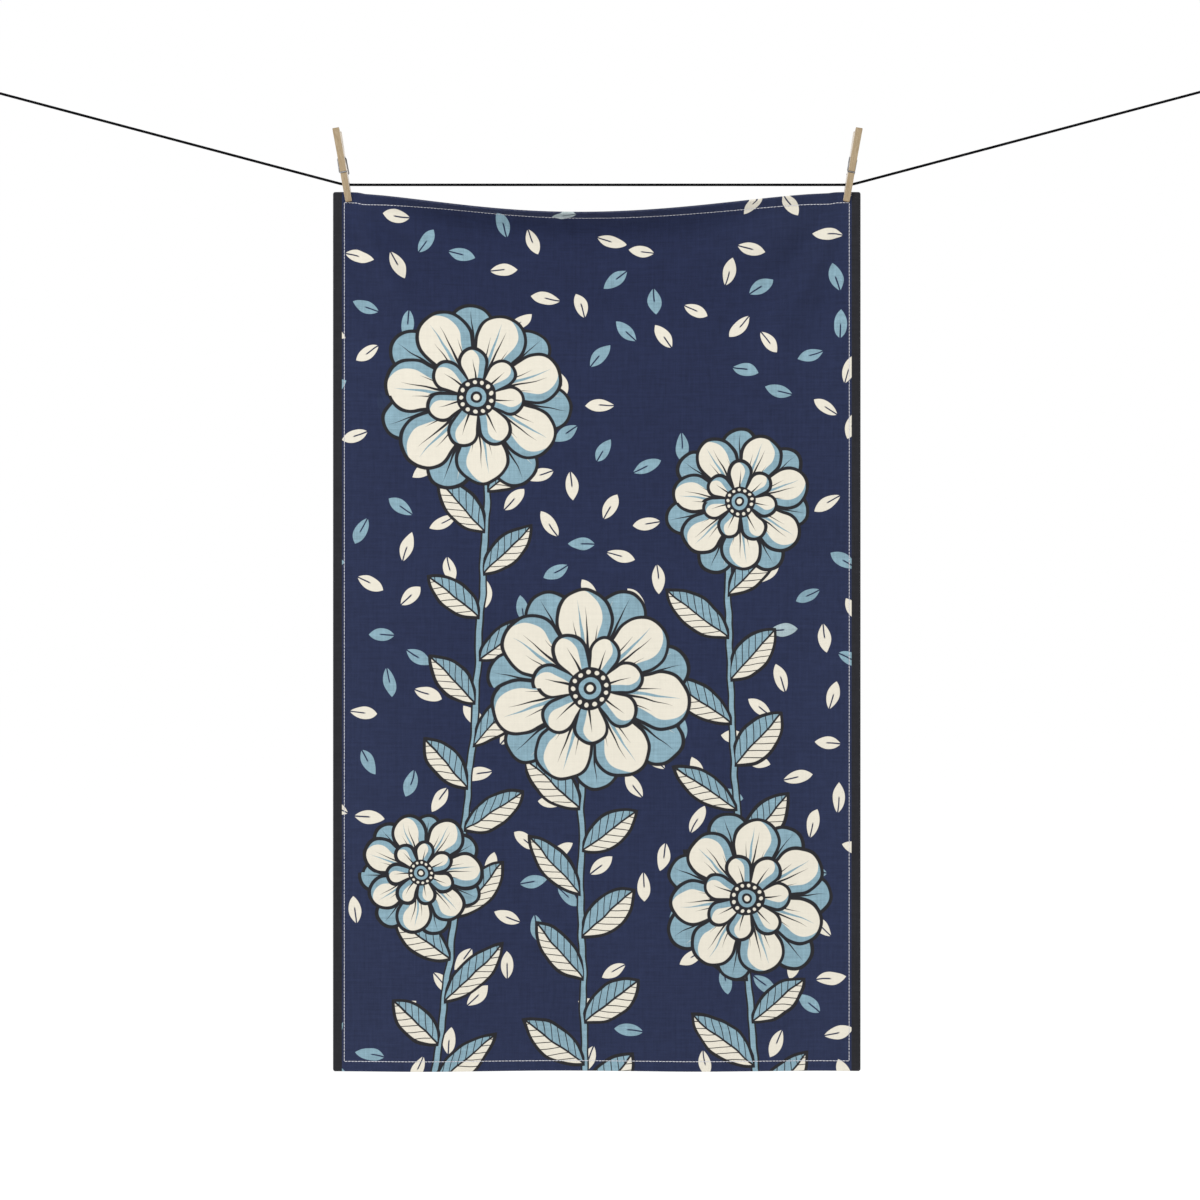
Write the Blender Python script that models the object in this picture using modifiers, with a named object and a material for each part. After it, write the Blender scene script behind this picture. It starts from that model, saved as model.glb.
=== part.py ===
"""Tea towel pegged on a line: one hemmed cloth, two spring pegs and a taut line.

Metres, +Z up, +X to the right as seen from the front, +Y away from the front.
The origin is on the axis of the line, above the middle of the towel.
"""
import math
from collections import namedtuple

import bmesh
import bpy
from mathutils import Matrix, Vector

# Cloth: an 18 by 30 inch cut with turned hems on its four sides
TOWEL_WIDTH = 0.4572
TOWEL_HEIGHT = 0.762
CLOTH_THICKNESS = 0.0012
HEM_THICKNESS = 0.0020
HEM_WIDTH = 0.0100
HEM_STEP = 0.0010
CORNER_RADIUS = 0.0020
TOP_CORNER_DROP = 0.0062
FIELD_COLUMNS = 34
FIELD_ROWS = 34
COLUMN_CROWDING = 0.6
ROW_CROWDING = 1.45

# Arcs slung from peg to peg: fullest at the middle, with a bluntness for each side
Arc = namedtuple("Arc", "middle left_power right_power")

# Top edge: hangs in a slack arc between the pegs, lowest a little left of the middle
EDGE_SAG = 0.0175
SAG_ARC = Arc(middle=-0.0161, left_power=1.65, right_power=1.89)
SLACK_FADE = 0.090

# Top hem: tips forward between the pegs, which lowers its edge, and the cloth below it follows
HEM_LEAN_DEG = 77.4
LEAN_ARC = Arc(middle=-0.0980, left_power=0.71, right_power=0.56)
LEAN_START = 0.0183
LEAN_DROP = 0.0059
LEAN_FADE = 0.009
BELLY_DEPTH = 0.008
BELLY_FADE = 0.110

# Where the pegs hold the cloth, it stays flat
GRIP_FLAT = 0.009
GRIP_BLEND = 0.038

# Folds slung from peg to peg: drop below the corners at mid-span, depth towards the front
Swag = namedtuple("Swag", "drop depth half_width")
SWAGS = (
    Swag(drop=0.066, depth=0.0042, half_width=0.024),
    Swag(drop=0.112, depth=-0.0036, half_width=0.030),
    Swag(drop=0.190, depth=0.0022, half_width=0.045),
)

# Folds that fan out of a peg: lean from the vertical towards the middle of the towel
Ray = namedtuple("Ray", "side lean_deg length half_width depth")
RAYS = (
    Ray(side=-1, lean_deg=27.0, length=0.190, half_width=0.010, depth=0.0042),
    Ray(side=-1, lean_deg=41.0, length=0.170, half_width=0.011, depth=-0.0034),
    Ray(side=-1, lean_deg=57.0, length=0.200, half_width=0.014, depth=0.0036),
    Ray(side=-1, lean_deg=11.0, length=0.150, half_width=0.008, depth=-0.0026),
    Ray(side=1, lean_deg=26.0, length=0.230, half_width=0.010, depth=0.0048),
    Ray(side=1, lean_deg=39.0, length=0.200, half_width=0.012, depth=-0.0040),
    Ray(side=1, lean_deg=61.0, length=0.210, half_width=0.016, depth=0.0040),
    Ray(side=1, lean_deg=12.0, length=0.170, half_width=0.009, depth=-0.0030),
)

# Slow upright waves in the lower cloth
Wave = namedtuple("Wave", "x half_width depth start")
WAVES = (
    Wave(x=-0.150, half_width=0.050, depth=0.0030, start=0.22),
    Wave(x=-0.030, half_width=0.060, depth=-0.0026, start=0.30),
    Wave(x=0.085, half_width=0.045, depth=0.0024, start=0.26),
    Wave(x=0.190, half_width=0.040, depth=-0.0022, start=0.20),
)

# Pegs: both sit a touch right of the towel's middle, and their heights count upwards from the line's axis
PEG_X = 0.2178
PEG_SHIFT = 0.0006
PEG_TILT_DEG = 9.5
JAW_TIP = -0.0151
PEG_TOP = 0.0480
JAW_WIDTH = 0.0056
HANDLE_WIDTH = 0.0059
JAW_GAP = 0.0003
EDGE_ROUNDING = 0.0004
LINE_NOTCH_RADIUS = 0.0027
LINE_NOTCH_HEIGHT = -0.0004
COIL_HEIGHT = 0.0214
GROOVE_HEIGHT = 0.0101
GROOVE_OUT = 0.0067
GROOVE_RADIUS = 0.0008

# Spring: one steel wire, coiled between the legs and hooked over both of them
WIRE_RADIUS = 0.0005
COIL_RADIUS = 0.0026
COIL_PITCH = 0.00112
COIL_TURNS = 3
COIL_LEAD_DEG = 100.0
COIL_CLEARANCE = 0.0004
TANGENT_DEG = 154.5
POINTS_PER_TURN = 12
ARM_OFFSET = 0.0035

# Line: a thin cord, level between the pegs and rising to its fixings outside them
LINE_RADIUS = 0.00115
LINE_RISE_DEG = 14.88
LINE_BEND_X = 0.2196
LINE_END_X = 0.5391
LINE_ROUTE_X = (0.0, 0.0700, 0.1400, 0.1950, 0.2140, 0.2180, 0.2212, 0.2252, 0.2450, 0.3150, 0.3950, 0.4700)
LINE_STEPS = 3
BEND_ROUNDING = 0.0022

# Knot and eye at each end of the line
KNOT_GAP = 0.0003
KNOT_LENGTH = 0.0096
KNOT_RADIUS = 0.0033
KNOT_WRAPS = 4
KNOT_WRAP_DEPTH = 0.0005
EYE_LENGTH = 0.0200
EYE_HALF_WIDTH = 0.0078
EYE_NARROWING = 0.8
EYE_POINTS = 22
EYE_START = 0.0068
EYE_STRAND_OFFSET = 0.00135

Material = namedtuple("Material", "name colour roughness metallic")
COTTON = Material("printed_cotton", (0.032, 0.040, 0.088), 0.85, 0.0)
WOOD = Material("peg_wood", (0.46, 0.34, 0.20), 0.65, 0.0)
STEEL = Material("spring_steel", (0.32, 0.32, 0.33), 0.35, 1.0)
CORD = Material("line_cord", (0.012, 0.012, 0.014), 0.75, 0.0)


def clear_scene():
    """Remove every object that the open file holds."""
    for old in list(bpy.data.objects):
        bpy.data.objects.remove(old, do_unlink=True)


def make_collection(name):
    """Return a new collection linked under the scene's own."""
    collection = bpy.data.collections.new(name)
    bpy.context.scene.collection.children.link(collection)
    return collection


def make_material(spec):
    """Return a Principled material with the piece's plain colour."""
    material = bpy.data.materials.new(spec.name)
    material.use_nodes = True
    shader = material.node_tree.nodes["Principled BSDF"]
    shader.inputs["Base Color"].default_value = (*spec.colour, 1.0)
    shader.inputs["Roughness"].default_value = spec.roughness
    shader.inputs["Metallic"].default_value = spec.metallic
    return material


def add_object(name, data, collection, material=None):
    """Link a new object for the mesh or curve, with its material."""
    new = bpy.data.objects.new(name, data)
    collection.objects.link(new)
    if material is not None:
        data.materials.append(material)
    return new


def smooth_step(low, high, value):
    """Rise from 0 at low to 1 at high without a corner."""
    t = min(max((value - low) / (high - low), 0.0), 1.0)
    return t * t * (3.0 - 2.0 * t)


def bump(offset, half_width):
    """Return a bell of height 1, nearly gone at twice its half width."""
    return math.exp(-((offset / half_width) ** 2))


def grip_release(x, below=0.0):
    """Return 0 where a peg holds the cloth flat, and 1 well away from it."""
    return smooth_step(GRIP_FLAT, GRIP_BLEND, math.hypot(PEG_X - abs(x), below))


def slung_share(x, arc):
    """Return 1 at the arc's middle, falling to 0 at the pegs and outside them."""
    rightward = x > arc.middle
    reach = PEG_X - arc.middle if rightward else PEG_X + arc.middle
    t = min(abs(x - arc.middle) / reach, 1.0)
    return (1.0 - t * t) ** (arc.right_power if rightward else arc.left_power)


def hem_lean(x):
    """Return the forward lean of the top hem in radians."""
    release = smooth_step(GRIP_FLAT, LEAN_START, PEG_X - abs(x))
    return math.radians(HEM_LEAN_DEG) * slung_share(x, LEAN_ARC) * release


def edge_sag(x):
    """Return how far the top edge hangs below the towel's corners."""
    return EDGE_SAG * slung_share(x, SAG_ARC) + LEAN_DROP * math.sin(hem_lean(x))


def span_share(x):
    """Return 1 at mid-span, falling to 0 at the pegs and outside them."""
    return max(1.0 - (x / PEG_X) ** 2, 0.0)


def swag_relief(x, drop):
    """Sum the folds that are slung between the pegs."""
    total = 0.0
    for swag in SWAGS:
        middle = TOP_CORNER_DROP + swag.drop * span_share(x)
        total += swag.depth * span_share(x) * bump(drop - middle, swag.half_width)
    return total


def ray_relief(x, drop):
    """Sum the folds that fan out of each peg."""
    total = 0.0
    for ray in RAYS:
        lean = math.radians(ray.lean_deg)
        inward = PEG_X - ray.side * x
        below = drop - TOP_CORNER_DROP
        along = inward * math.sin(lean) + below * math.cos(lean)
        across = inward * math.cos(lean) - below * math.sin(lean)
        share = along / ray.length
        if 0.0 < share < 1.0:
            rise = smooth_step(0.04, 0.35, share) * (1.0 - smooth_step(0.45, 1.0, share))
            total += ray.depth * rise * bump(across, ray.half_width * (0.6 + 1.2 * share))
    return total


def wave_relief(x, down):
    """Sum the slow waves, which grow towards the bottom hem."""
    total = 0.0
    for wave in WAVES:
        growth = smooth_step(wave.start, TOWEL_HEIGHT, down)
        total += wave.depth * growth * bump(x - wave.x, wave.half_width)
    return total


def hang(x, down):
    """Place the point of the flat cloth that lies `down` below its top edge."""
    lean = hem_lean(x)
    sag = edge_sag(x)
    if down <= HEM_WIDTH:
        drop = sag + down * math.cos(lean)
        forward = math.sin(lean) * (HEM_WIDTH - down + LEAN_FADE)
    else:
        past = down - HEM_WIDTH
        slack = sag - HEM_WIDTH * (1.0 - math.cos(lean))
        drop = down + slack * math.exp(-past / SLACK_FADE)
        forward = math.sin(lean) * LEAN_FADE * math.exp(-past / LEAN_FADE)
    drop += TOP_CORNER_DROP
    folds = BELLY_DEPTH * span_share(x) * math.exp(-down / BELLY_FADE)
    folds += swag_relief(x, drop) + ray_relief(x, drop) + wave_relief(x, down)
    forward += folds * grip_release(x, max(drop + JAW_TIP, 0.0))
    return Vector((x, -HEM_THICKNESS / 2.0 - forward, -drop))


def grid_lines(length, shares):
    """List grid lines over a length: the hem's own at both ends, and the shares between."""
    rim = (0.0, HEM_WIDTH / 2.0, HEM_WIDTH)
    first = HEM_WIDTH + HEM_STEP
    inner = length - 2.0 * first
    lines = list(rim)
    lines += [first + inner * share for share in shares]
    lines += [length - distance for distance in reversed(rim)]
    return lines


def column_positions():
    """List the grid's columns, left to right, crowded towards both sides."""
    even = [i / FIELD_COLUMNS for i in range(FIELD_COLUMNS + 1)]
    shares = [share + COLUMN_CROWDING * (0.5 - 0.5 * math.cos(math.pi * share) - share) for share in even]
    return [across - TOWEL_WIDTH / 2.0 for across in grid_lines(TOWEL_WIDTH, shares)]


def row_positions():
    """List the grid's rows, top to bottom, crowded towards the top."""
    return grid_lines(TOWEL_HEIGHT, [(i / FIELD_ROWS) ** ROW_CROWDING for i in range(FIELD_ROWS + 1)])


def split_along_folds(sheet):
    """Halve each square of the grid along the line that runs down towards the middle."""
    for face in list(sheet.faces):
        side = -1.0 if face.calc_center_median().x < 0.0 else 1.0
        ranked = sorted(face.verts, key=lambda vert: side * vert.co.x + vert.co.y)
        bmesh.utils.face_split(face, ranked[0], ranked[-1])


def round_corner(x, down):
    """Pull the four corner points in, so that the corners are blunt."""
    inset = CORNER_RADIUS * (1.0 - math.sqrt(0.5))
    half = TOWEL_WIDTH / 2.0
    at_side = half - abs(x) < 1e-6
    at_end = min(down, TOWEL_HEIGHT - down) < 1e-6
    if at_side and at_end:
        x -= math.copysign(inset, x)
        down += inset if down < TOWEL_HEIGHT / 2.0 else -inset
    return x, down


def build_towel(collection, material):
    """Make the hemmed towel as one sheet, thicker along its hems."""
    columns = column_positions()
    rows = row_positions()
    sheet = bmesh.new()
    bmesh.ops.create_grid(sheet, x_segments=len(columns) - 1, y_segments=len(rows) - 1, size=1.0)
    split_along_folds(sheet)
    hem_weights = sheet.verts.layers.deform.verify()
    thin = CLOTH_THICKNESS / HEM_THICKNESS
    for vert in sheet.verts:
        x = columns[round((vert.co.x + 1.0) / 2.0 * (len(columns) - 1))]
        down = rows[round((1.0 - vert.co.y) / 2.0 * (len(rows) - 1))]
        margin = min(TOWEL_WIDTH / 2.0 - abs(x), down, TOWEL_HEIGHT - down)
        vert[hem_weights][0] = 1.0 if margin < HEM_WIDTH + HEM_STEP / 2.0 else thin
        vert.co = hang(*round_corner(x, down))
    mesh = bpy.data.meshes.new("tea_towel")
    sheet.to_mesh(mesh)
    sheet.free()
    towel = add_object("tea_towel", mesh, collection, material)
    towel.vertex_groups.new(name="thickness")
    mesh.shade_smooth()
    solidify = towel.modifiers.new("cloth thickness", "SOLIDIFY")
    solidify.thickness = HEM_THICKNESS
    solidify.offset = -1.0
    solidify.use_even_offset = True
    solidify.vertex_group = "thickness"
    return towel


def mesh_from_curve(curve_object, collection, material=None):
    """Swap a curve object for a closed mesh of the same shape."""
    bpy.context.view_layer.update()
    graph = bpy.context.evaluated_depsgraph_get()
    mesh = bpy.data.meshes.new_from_object(curve_object.evaluated_get(graph))
    shell = bmesh.new()
    shell.from_mesh(mesh)
    bmesh.ops.remove_doubles(shell, verts=shell.verts, dist=1e-7)
    bmesh.ops.recalc_face_normals(shell, faces=shell.faces)
    shell.to_mesh(mesh)
    shell.free()
    name = curve_object.name
    place = curve_object.matrix_world.copy()
    bpy.data.objects.remove(curve_object, do_unlink=True)
    mesh.materials.clear()
    new = add_object(name, mesh, collection, material)
    new.matrix_world = place
    return new


def tube(name, points, radius, collection, material=None):
    """Make a round wire or cord through the points."""
    curve = bpy.data.curves.new(name, "CURVE")
    curve.dimensions = "3D"
    curve.bevel_depth = radius
    curve.bevel_resolution = 2
    curve.use_fill_caps = True
    spline = curve.splines.new("POLY")
    spline.points.add(len(points) - 1)
    for spot, point in zip(spline.points, points):
        spot.co = (*point, 1.0)
    return add_object(name, curve, collection, material)


def hide_tool(tool):
    """Show a cutting or joining shape as wire only."""
    tool.hide_render = True
    tool.display_type = "WIRE"


def crosswise_cutter(name, radius, depth, height, sides, place, tools):
    """Add a round cutter that lies across a peg."""
    bpy.ops.mesh.primitive_cylinder_add(vertices=sides, radius=radius, depth=0.02,
                                        location=(0.0, depth, height), rotation=(0.0, math.pi / 2.0, 0.0))
    cutter = bpy.context.active_object
    cutter.name = name
    for owner in list(cutter.users_collection):
        owner.objects.unlink(cutter)
    tools.objects.link(cutter)
    cutter.parent = place
    hide_tool(cutter)
    return cutter


def combine(target, tool, operation):
    """Cut the tool out of the target, or join it on."""
    boolean = target.modifiers.new(tool.name, "BOOLEAN")
    boolean.operation = operation
    boolean.solver = "EXACT"
    boolean.object = tool


def leg_outline():
    """Return the side view of a peg leg as (depth, height) points, from the jaw tip up."""
    jaw = HEM_THICKNESS / 2.0 + JAW_GAP
    inner = ((jaw, JAW_TIP), (jaw, -0.0050), (0.0007, 0.0060), (0.00018, 0.0150), (0.00018, 0.0262))
    handle = ((0.0066, PEG_TOP), (0.0108, PEG_TOP), (0.0114, PEG_TOP - 0.0007))
    outer = ((0.0076, 0.0270), (0.0070, 0.0200), (0.0066, 0.0050), (0.0060, -0.0030), (0.0030, JAW_TIP))
    return inner + handle + outer


def build_leg(name, facing, place, cutters, collection, material):
    """Make one wooden leg: facing -1 is the front leg, 1 the back leg."""
    curve = bpy.data.curves.new(name, "CURVE")
    curve.dimensions = "2D"
    curve.fill_mode = "BOTH"
    curve.extrude = JAW_WIDTH / 2.0
    outline = leg_outline()
    spline = curve.splines.new("POLY")
    spline.points.add(len(outline) - 1)
    for spot, (depth, height) in zip(spline.points, outline):
        spot.co = (depth, height, 0.0, 1.0)
    spline.use_cyclic_u = True
    leg = mesh_from_curve(add_object(name, curve, collection), collection, material)
    for vert in leg.data.vertices:
        depth, height, side = vert.co
        share = (height - JAW_TIP) / (PEG_TOP - JAW_TIP)
        narrowing = 1.0 + (HANDLE_WIDTH / JAW_WIDTH - 1.0) * share
        vert.co = (side * narrowing, depth * facing, height)
    if facing > 0:
        leg.data.flip_normals()
    leg.parent = place
    rounding = leg.modifiers.new("worn edges", "BEVEL")
    rounding.width = EDGE_ROUNDING
    rounding.segments = 2
    rounding.limit_method = "ANGLE"
    rounding.angle_limit = math.radians(50.0)
    for cutter in cutters:
        combine(leg, cutter, "DIFFERENCE")
    return leg


def arm_points(side):
    """Trace the wire from the coil to the end of its hook over one leg.

    Side 1 is the arm to the front leg, on the peg's left; side -1 is its half-turn twin.
    """
    out = ARM_OFFSET
    groove = GROOVE_OUT
    height = GROOVE_HEIGHT
    route = (
        (out, 0.75 * groove, height + 0.0026),
        (out, 0.93 * groove, height + 0.0008),
        (out - 0.0003, groove, height + 0.0001),
        (out - 0.0009, groove, height),
        (0.0, groove, height),
        (0.9 * -out, groove, height),
    )
    return [Vector((-x * side, -depth * side, z)) for x, depth, z in route]


def spring_points():
    """Trace the whole wire: hook, coil between the legs, other hook."""
    start = 180.0 - TANGENT_DEG
    sweep = TANGENT_DEG + 360.0 * COIL_TURNS - start
    count = round(sweep / 360.0 * POINTS_PER_TURN)
    lead = COIL_LEAD_DEG / sweep
    body = COIL_PITCH * (sweep - 2.0 * COIL_LEAD_DEG) / 360.0 / 2.0
    coil = []
    for i in range(count + 1):
        share = i / count
        angle = math.radians(start + sweep * share)
        middle = max(min((share - 0.5) / (0.5 - lead), 1.0), -1.0) * body
        ramp = max(abs(share - 0.5) - (0.5 - lead), 0.0) / lead
        across = middle + math.copysign((ARM_OFFSET - body) * ramp, share - 0.5)
        depth = COIL_RADIUS * math.cos(angle)
        height = COIL_HEIGHT + COIL_RADIUS * math.sin(angle)
        coil.append(Vector((-across, depth, height)))
    return list(reversed(arm_points(-1))) + coil + arm_points(1)


def build_peg(side_name, side, collection, tools, wood, steel):
    """Make a peg of two legs and a spring; side is -1 for the left one, 1 for the right."""
    place = add_object(f"peg_{side_name}_place", None, tools)
    place.location = (side * PEG_X + PEG_SHIFT, 0.0, 0.0)
    place.rotation_euler = (0.0, side * math.radians(PEG_TILT_DEG), 0.0)
    place.hide_render = True
    notch = crosswise_cutter(f"line_notch_{side_name}", LINE_NOTCH_RADIUS, 0.0, LINE_NOTCH_HEIGHT,
                             20, place, tools)
    coil_seat = crosswise_cutter(f"coil_seat_{side_name}", COIL_RADIUS + WIRE_RADIUS + COIL_CLEARANCE,
                                 0.0, COIL_HEIGHT, 24, place, tools)
    for leg_name, facing in (("front", -1), ("back", 1)):
        groove = crosswise_cutter(f"wire_groove_{side_name}_{leg_name}", GROOVE_RADIUS,
                                  facing * GROOVE_OUT, GROOVE_HEIGHT, 12, place, tools)
        build_leg(f"peg_{side_name}_{leg_name}_leg", facing, place, (notch, coil_seat, groove),
                  collection, wood)
    spring = tube(f"peg_{side_name}_spring", spring_points(), WIRE_RADIUS, collection, steel)
    spring.parent = place


def line_height(x):
    """Return the height of the line's axis, with its bends softly rounded."""
    past = abs(x - PEG_SHIFT) - LINE_BEND_X
    softened = 0.5 * (past + math.sqrt(past * past + BEND_ROUNDING ** 2))
    return softened * math.tan(math.radians(LINE_RISE_DEG))


def line_route():
    """Return the route's own points, from the left end to the right end."""
    right = LINE_ROUTE_X + (LINE_END_X,)
    left = tuple(-x for x in reversed(right[1:]))
    return [Vector((x, 0.0, line_height(x))) for x in left + right]


def smooth_curve(route, steps):
    """Read points from a smooth curve through the route."""
    padded = [2.0 * route[0] - route[1]] + route + [2.0 * route[-1] - route[-2]]
    points = []
    for before, start, end, after in zip(padded, padded[1:], padded[2:], padded[3:]):
        span = (end - start).length
        leave = (end - before) / (end - before).length * span
        arrive = (after - start) / (after - start).length * span
        for step in range(steps):
            t = step / steps
            points.append((2 * t ** 3 - 3 * t ** 2 + 1) * start + (t ** 3 - 2 * t ** 2 + t) * leave
                          + (3 * t ** 2 - 2 * t ** 3) * end + (t ** 3 - t ** 2) * arrive)
    points.append(route[-1])
    return points


def knot_profile():
    """Return the half outline of the wrapped knot, top to bottom, about the Z axis."""
    half = KNOT_LENGTH / 2.0
    steps = 4 * KNOT_WRAPS
    outline = [(0.0, half)]
    for i in range(steps + 1):
        share = i / steps
        wrap = KNOT_WRAP_DEPTH * abs(math.sin(math.pi * KNOT_WRAPS * share))
        taper = 0.72 + 0.28 * math.sin(math.pi * share)
        outline.append(((KNOT_RADIUS - KNOT_WRAP_DEPTH) * taper + wrap, half - KNOT_LENGTH * share))
    outline.append((0.0, -half))
    return outline


def eye_points():
    """Trace the eye: out of the knot, round in a drop shape and back into it."""
    points = []
    for i in range(EYE_POINTS + 1):
        turn = 2.0 * math.pi * i / EYE_POINTS
        along = EYE_START + EYE_LENGTH * (1.0 - math.cos(turn)) / 2.0
        sideways = EYE_HALF_WIDTH * math.sin(turn) * math.sin(turn / 2.0) ** EYE_NARROWING
        sideways += EYE_STRAND_OFFSET * math.cos(turn / 2.0)
        points.append(Vector((along, 0.0, sideways)))
    return points


def tail_points():
    """Trace the cut end of the cord, out of the knot and down beside the line."""
    route = ((0.0029, -0.0016), (0.0046, -0.0039), (0.0067, -0.0078), (0.0088, -0.0117), (0.0101, -0.0141))
    return [Vector((along, 0.0014, height)) for along, height in route]


def build_knot(side_name, side, collection, tools, material):
    """Make the knot with its eye and tail, at one end of the line."""
    rise = math.radians(LINE_RISE_DEG)
    outward = Vector((side * math.cos(rise), 0.0, math.sin(rise)))
    upward = Vector((-side * math.sin(rise), 0.0, math.cos(rise)))
    turn = Matrix((outward, upward.cross(outward), upward)).transposed()
    end = Vector((side * LINE_END_X, 0.0, line_height(side * LINE_END_X)))
    place = Matrix.Translation(end + outward * KNOT_GAP) @ turn.to_4x4()

    mesh = bpy.data.meshes.new(f"line_knot_{side_name}")
    profile = knot_profile()
    points = [(radius, 0.0, height) for radius, height in profile]
    edges = [(i, i + 1) for i in range(len(points) - 1)]
    mesh.from_pydata(points, edges, [])
    knot = add_object(f"line_knot_{side_name}", mesh, collection, material)
    lay_along = Matrix.Translation((KNOT_LENGTH / 2.0, 0.0, 0.0)) @ Matrix.Rotation(math.pi / 2.0, 4, "Y")
    knot.matrix_world = place @ lay_along
    screw = knot.modifiers.new("turned", "SCREW")
    screw.steps = 14
    screw.render_steps = 14
    screw.use_merge_vertices = True
    screw.merge_threshold = 1e-6
    for label, route in (("eye", eye_points()), ("tail", tail_points())):
        piece = tube(f"line_{label}_{side_name}", route, LINE_RADIUS, tools)
        piece = mesh_from_curve(piece, tools)
        piece.matrix_world = place
        hide_tool(piece)
        combine(knot, piece, "UNION")


def build():
    """Model the towel, its pegs and its line."""
    clear_scene()
    parts = make_collection("tea_towel_on_line")
    tools = make_collection("cutters")
    cotton, wood, steel, cord = (make_material(spec) for spec in (COTTON, WOOD, STEEL, CORD))
    build_towel(parts, cotton)
    for side_name, side in (("left", -1), ("right", 1)):
        build_peg(side_name, side, parts, tools, wood, steel)
        build_knot(side_name, side, parts, tools, cord)
    tube("line", smooth_curve(line_route(), LINE_STEPS), LINE_RADIUS, parts, cord)
    bpy.context.view_layer.update()


build()
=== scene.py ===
"""Looks of the tea towel on its line: cloth, print, stitching, pegs, cord, light and camera.

Metres, +Z up, +X to the right as seen from the front, +Y away from the front.
"""

import math

import bpy
from mathutils import Matrix, Vector, noise


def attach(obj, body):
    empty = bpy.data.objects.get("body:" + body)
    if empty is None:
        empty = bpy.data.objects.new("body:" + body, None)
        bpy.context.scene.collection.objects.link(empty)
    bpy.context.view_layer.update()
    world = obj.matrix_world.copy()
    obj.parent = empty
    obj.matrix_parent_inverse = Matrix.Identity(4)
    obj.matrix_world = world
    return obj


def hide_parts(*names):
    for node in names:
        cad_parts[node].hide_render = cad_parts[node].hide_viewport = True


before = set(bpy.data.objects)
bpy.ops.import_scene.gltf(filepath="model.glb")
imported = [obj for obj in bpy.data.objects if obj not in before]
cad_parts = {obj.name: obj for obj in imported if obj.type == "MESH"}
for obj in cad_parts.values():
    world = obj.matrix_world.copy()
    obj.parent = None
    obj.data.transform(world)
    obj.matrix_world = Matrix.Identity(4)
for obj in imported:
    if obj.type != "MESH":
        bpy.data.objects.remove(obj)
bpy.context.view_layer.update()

# The cloth's shape, with the same values as in the part's source
TOWEL_WIDTH = 0.4572
TOWEL_HEIGHT = 0.762
HEM_THICKNESS = 0.0020
HEM_WIDTH = 0.0100
HEM_STEP = 0.0010
CORNER_RADIUS = 0.0020
TOP_CORNER_DROP = 0.0062
EDGE_SAG = 0.0175
SLACK_FADE = 0.090
HEM_LEAN_DEG = 77.4
LEAN_START = 0.0183
LEAN_DROP = 0.0059
LEAN_FADE = 0.009
BELLY_DEPTH = 0.008
BELLY_FADE = 0.110
GRIP_FLAT = 0.009
GRIP_BLEND = 0.038
PEG_X = 0.2178
PEG_SHIFT = 0.0006
PEG_TILT_DEG = 9.5
JAW_TIP = -0.0151
PEG_TOP = 0.0480

# Arcs slung from peg to peg: middle, and a bluntness for the left and for the right side
SAG_ARC = (-0.0161, 1.65, 1.89)
LEAN_ARC = (-0.0980, 0.71, 0.56)

# Folds slung from peg to peg: drop below the corners at mid-span, depth to the front, half width
SWAGS = ((0.066, 0.0042, 0.024), (0.112, -0.0036, 0.030), (0.190, 0.0022, 0.045))

# Folds that fan out of a peg: side, lean in degrees, length, half width, depth to the front
RAYS = (
    (-1, 27.0, 0.190, 0.010, 0.0042),
    (-1, 41.0, 0.170, 0.011, -0.0034),
    (-1, 57.0, 0.200, 0.014, 0.0036),
    (-1, 11.0, 0.150, 0.008, -0.0026),
    (1, 26.0, 0.230, 0.010, 0.0048),
    (1, 39.0, 0.200, 0.012, -0.0040),
    (1, 61.0, 0.210, 0.016, 0.0040),
    (1, 12.0, 0.170, 0.009, -0.0030),
)

# Slow upright waves in the lower cloth: x, half width, depth to the front, start
WAVES = (
    (-0.150, 0.050, 0.0030, 0.22),
    (-0.030, 0.060, -0.0026, 0.30),
    (0.085, 0.045, 0.0024, 0.26),
    (0.190, 0.040, -0.0022, 0.20),
)

# Finish of the cloth
FIELD_THICKNESS = 0.0009
SIDE_SEAM_INSET = 0.0099
TOP_SEAM_INSET = 0.0094
BOTTOM_SEAM_INSET = 0.0089
SEAM_GROOVE = 0.00022
SEAM_GROOVE_WIDTH = 0.0009
PUCKER_DEPTH = 0.00022
PUCKER_PITCH = 0.0092
PUCKER_HALF_WIDTH = 0.0065
CREASE_DEPTH = 0.00045
STITCH_PITCH = 0.0029
STITCH_GAP = 0.0003
STITCH_SIDES = 6
STITCH_RINGS = 5
THREAD_RADIUS = 0.00030
THREAD_FLATTENING = 0.8
THREAD_SUNK = 0.20
STRIP_WIDTH = 0.0079

# Grid lines over a hem, as distances from the cloth's edge, and the grid's steps inside the hems
HEM_GRID = (0.0, 0.00012, 0.0004, 0.0008, 0.0013, 0.0020, 0.0034, 0.0050, 0.0066, 0.0078, 0.0085, 0.0090,
            0.0094, 0.0098, 0.0103, 0.0110, 0.0122, 0.0142)
COLUMN_STEP = 0.0034
ROW_STEP_TOP = 0.0026
ROW_STEP_GROWTH = 0.0030

# The flat cloth in millimetres, for its print and its weave
CLOTH_WIDE = TOWEL_WIDTH * 1000.0
CLOTH_TALL = TOWEL_HEIGHT * 1000.0
HEM_WIDE = HEM_WIDTH * 1000.0 + 0.2
WEAVE_PITCH = 0.72

# How much each unevenness adds to the cloth's brightness, and what they usually come to; the weave's relief
# darkens its hollows as painted shade
THREAD_SHARE = 0.14
SLUB_SHARE = 0.50
SPECKLE_SHARE = 0.22
CLOUD_SHARE = 0.16
RELIEF_SHADE_SHARE = 0.10
STREAK_SHARE = 0.31
USUAL_LEVEL = 0.43
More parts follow.
